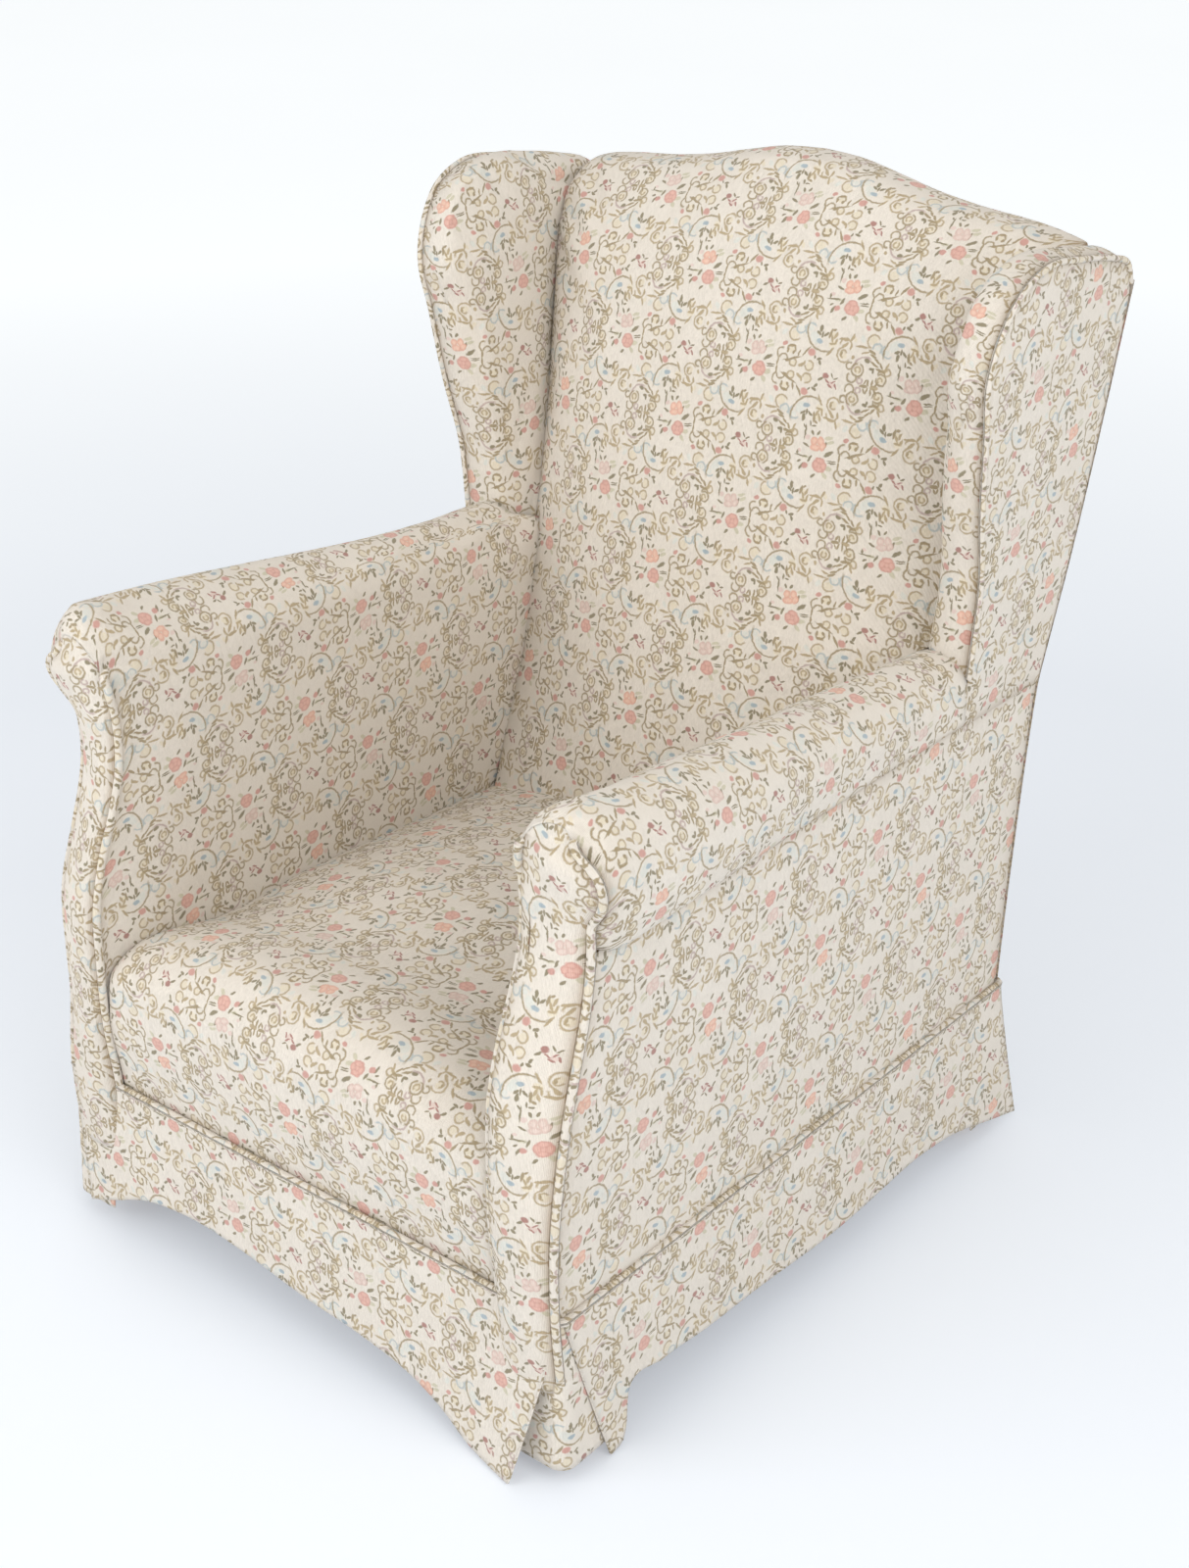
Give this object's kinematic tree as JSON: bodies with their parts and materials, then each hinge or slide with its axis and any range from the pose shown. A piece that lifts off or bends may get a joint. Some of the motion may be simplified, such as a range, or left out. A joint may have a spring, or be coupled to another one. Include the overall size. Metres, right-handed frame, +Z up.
{
  "type": "wing armchair",
  "caption": "Skirted wing armchair with a tight sprung seat, rolled arms and a camel-backed crest, upholstered all over in a floral tapestry",
  "frame": {"origin": "on the floor, in the middle of the overall box", "axes": "+X to the sitter's left, -Y the way the sitter faces, +Z up"},
  "size_m": [0.7428, 0.8951, 1.0526],
  "materials": {
    "tapestry": "ribbed woven tapestry, cream ground with roses and olive scrolls",
    "stuffing": "cotton felt over hair",
    "webbing": "woven jute strap",
    "hessian": "plain jute cloth",
    "dust_cloth": "black cambric",
    "beech": "planed beech, unfinished; feet stained",
    "steel": "drawn wire and bright fasteners"
  },
  "bodies": {
    "root": {"back_cover": "tapestry", "back_crest_rail": "beech", "back_feet": "beech", "back_hessian": "hessian", "back_seat_rail": "beech", "back_stuffing": "stuffing", "back_tacking_rail": "beech", "back_webbing": "webbing", "corner_block_screws": "steel", "corner_blocks": "beech", "dust_cover": "dust_cloth", "dust_cover_tacks": "steel", "foot_bolts": "steel", "frame_dowels": "beech", "front_feet": "beech", "front_seat_rail": "beech", "left_arm_cover": "tapestry", "left_arm_rail": "beech", "left_arm_stuffing": "stuffing", "left_arm_stump": "beech", "left_arm_tacking_rail": "beech", "left_back_post": "beech", "left_facing_pad": "tapestry", "left_facing_piping": "tapestry", "left_outside_arm": "tapestry", "left_outside_wing": "tapestry", "left_seat_rail": "beech", "left_skirt_side": "tapestry", "left_wing_cover": "tapestry", "left_wing_piping": "tapestry", "left_wing_rail": "beech", "left_wing_stile": "beech", "left_wing_stuffing": "stuffing", "outside_back": "tapestry", "right_arm_cover": "tapestry", "right_arm_rail": "beech", "right_arm_stuffing": "stuffing", "right_arm_stump": "beech", "right_arm_tacking_rail": "beech", "right_back_post": "beech", "right_facing_pad": "tapestry", "right_facing_piping": "tapestry", "right_outside_arm": "tapestry", "right_outside_wing": "tapestry", "right_seat_rail": "beech", "right_skirt_side": "tapestry", "right_wing_cover": "tapestry", "right_wing_piping": "tapestry", "right_wing_rail": "beech", "right_wing_stile": "beech", "right_wing_stuffing": "stuffing", "seat_cover": "tapestry", "seat_hessian": "hessian", "seat_springs": "steel", "seat_stuffing": "stuffing", "seat_webbing": "webbing", "skirt_back": "tapestry", "skirt_front": "tapestry", "skirt_pleats": "tapestry", "skirt_welt": "tapestry"}
  },
  "joints": []
}
